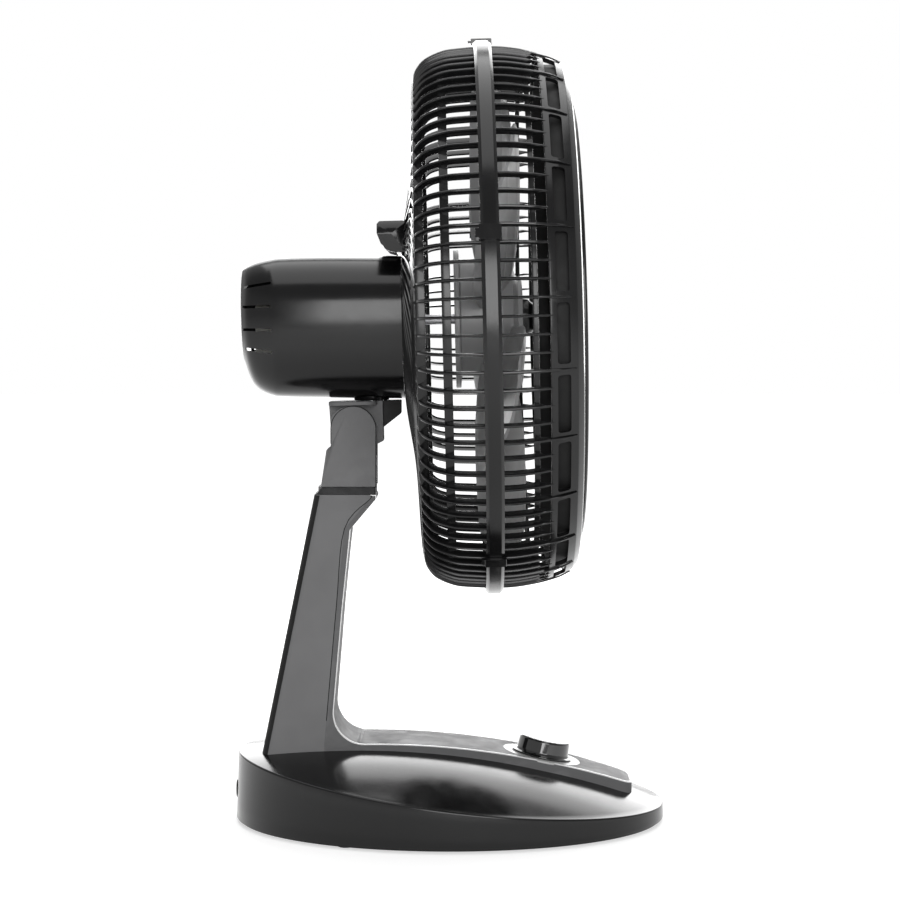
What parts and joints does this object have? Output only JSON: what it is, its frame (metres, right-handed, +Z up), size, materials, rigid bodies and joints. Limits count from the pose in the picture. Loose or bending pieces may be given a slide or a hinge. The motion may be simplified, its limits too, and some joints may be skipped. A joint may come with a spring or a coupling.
{
  "type": "air circulator fan",
  "caption": "Table air circulator: caged blades and motor on a tilting, swinging neck above an oval base with a dial.",
  "frame": {"origin": "on the floor, under the middle of the oval base", "axes": "+X is the way the fan blows, +Y is to the fan's left seen from behind, +Z is up"},
  "size_m": [0.342, 0.4392, 0.6236],
  "materials": {
    "black_plastic": "satin",
    "graphite_plastic": "satin",
    "gloss_black": "gloss",
    "light_plastic": "satin",
    "blade_plastic": "satin",
    "rubber": "matte",
    "steel": "brushed",
    "iron": "rough",
    "copper": "lacquered",
    "brass": "satin",
    "trim": "satin"
  },
  "bodies": {
    "base": {"base_shell": "black_plastic", "bottom_plate": "black_plastic", "rubber_feet": "rubber", "base_screws": "steel", "ballast_weight": "iron", "run_capacitor": "light_plastic", "control_strip": "graphite_plastic", "strip_trim": "trim", "lower_column": "graphite_plastic", "neck_column": "graphite_plastic", "neck_screws": "steel", "dial_plate": "light_plastic", "speed_switch": "light_plastic"},
    "knob": {"switch_shaft": "light_plastic", "speed_knob": "gloss_black", "knob_cap": "light_plastic"},
    "tilt_arm": {"tilt_bracket": "graphite_plastic", "bracket_nose": "black_plastic", "tilt_pin": "steel", "tilt_washers": "steel", "swing_post": "steel"},
    "head": {"motor_housing": "black_plastic", "front_plate": "black_plastic", "rear_frame": "black_plastic", "shaft_bearings": "brass", "stator_core": "steel", "stator_coils": "copper", "gearbox": "light_plastic", "crank_arm": "steel", "rear_grille": "black_plastic", "front_grille": "black_plastic", "centre_badge": "light_plastic", "grille_nut": "black_plastic", "clamp_ring": "black_plastic", "ring_clips": "black_plastic", "handle": "black_plastic"},
    "rotor": {"motor_shaft": "steel", "rotor_core": "steel", "fan_blade": "blade_plastic", "blade_nut": "black_plastic"}
  },
  "joints": [
    {"name": "speed_dial", "type": "hinge", "parent": "base", "child": "knob", "pos_m": [0.0737, 0, 0.05133], "axis": [0.2053, 0, 0.9787], "range_deg": [-135, 0]},
    {"name": "head_tilt", "type": "hinge", "parent": "base", "child": "tilt_arm", "pos_m": [-0.078, 0, 0.313], "axis": [0, -1, 0], "range_deg": [-10, 30]},
    {"name": "oscillation", "type": "hinge", "parent": "tilt_arm", "child": "head", "pos_m": [-0.06255, 0, 0.33588], "axis": [-0.0241, 0, 0.9997], "range_deg": [-40, 40]},
    {"name": "blade_spin", "type": "hinge", "parent": "head", "child": "rotor", "pos_m": [0.0298, 0, 0.40152], "axis": [0.9997, 0, 0.0241], "continuous": true}
  ]
}
